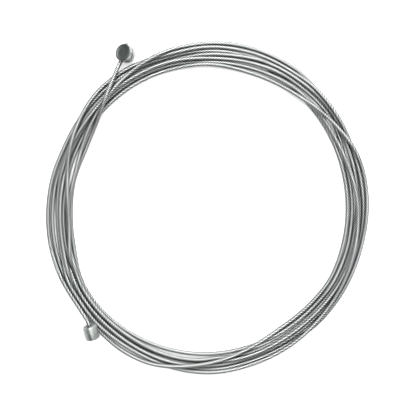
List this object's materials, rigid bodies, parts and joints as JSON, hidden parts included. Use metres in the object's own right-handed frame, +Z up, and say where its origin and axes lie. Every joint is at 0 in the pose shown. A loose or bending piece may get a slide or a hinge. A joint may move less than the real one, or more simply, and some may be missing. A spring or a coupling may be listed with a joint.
{
  "type": "bicycle shift cable, coiled inner wire with two heads",
  "caption": "Coiled stranded steel inner wire with a short round barrel head at one end and a small cylinder head at the other.",
  "frame": {"origin": "middle of the whole object's box, on the surface that the coil lies on", "axes": "+Z up out of the coil's plane, +Y towards the picture's top edge, +X towards its right edge"},
  "size_m": [0.093, 0.0948, 0.0049],
  "materials": {
    "steel_wire": "drawn wire, lightly polished",
    "dark_cast_zinc": "die-cast zinc alloy, dull and dark",
    "bright_cast_zinc": "die-cast zinc alloy, bright"
  },
  "bodies": {
    "root": {"cable_coil": "steel_wire", "cable_to_barrel": "steel_wire", "cable_to_cylinder": "steel_wire", "barrel_head": "dark_cast_zinc", "cylinder_head": "bright_cast_zinc"}
  },
  "joints": []
}
